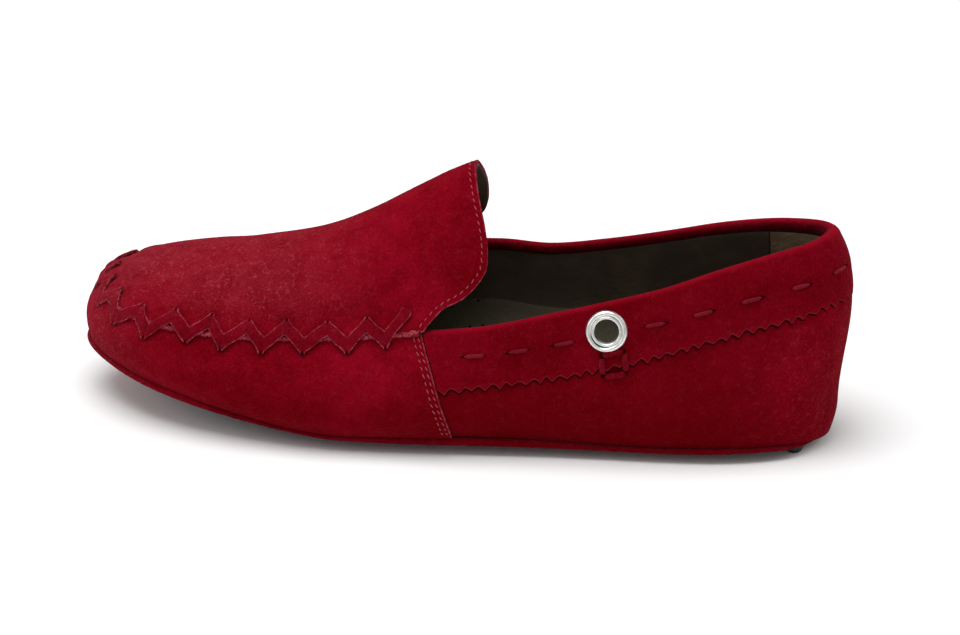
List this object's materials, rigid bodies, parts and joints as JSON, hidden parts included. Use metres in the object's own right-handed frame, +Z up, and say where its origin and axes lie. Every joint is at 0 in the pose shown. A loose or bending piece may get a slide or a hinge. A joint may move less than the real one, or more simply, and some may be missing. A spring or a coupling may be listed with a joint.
{
  "type": "suede loafer",
  "caption": "Low slip-on moccasin with a laced apron, a raised tongue, a pinked collar band, a side eyelet and a thin studded sole.",
  "frame": {"origin": "on the floor, under the centre of the shoe's bounding box", "axes": "+X runs along the shoe from toe to heel, +Y points to the medial side of this left shoe, +Z is up"},
  "size_m": [0.2882, 0.0982, 0.1005],
  "materials": {
    "red_suede": "brushed suede, deep red, fully matt with a soft nap",
    "sole_suede": "suede wrap of the sole plate, deep red, worn flat",
    "insole_leather": "dark olive-brown smooth leather, perforated",
    "black_rubber": "moulded, matt",
    "nickel": "polished nickel plate"
  },
  "bodies": {
    "root": {"upper": "red_suede", "outsole": "sole_suede", "insole": "insole_leather", "grip_forefoot": "black_rubber", "grip_heel": "black_rubber", "eyelet": "nickel", "eyelet_washer": "nickel"}
  },
  "joints": []
}
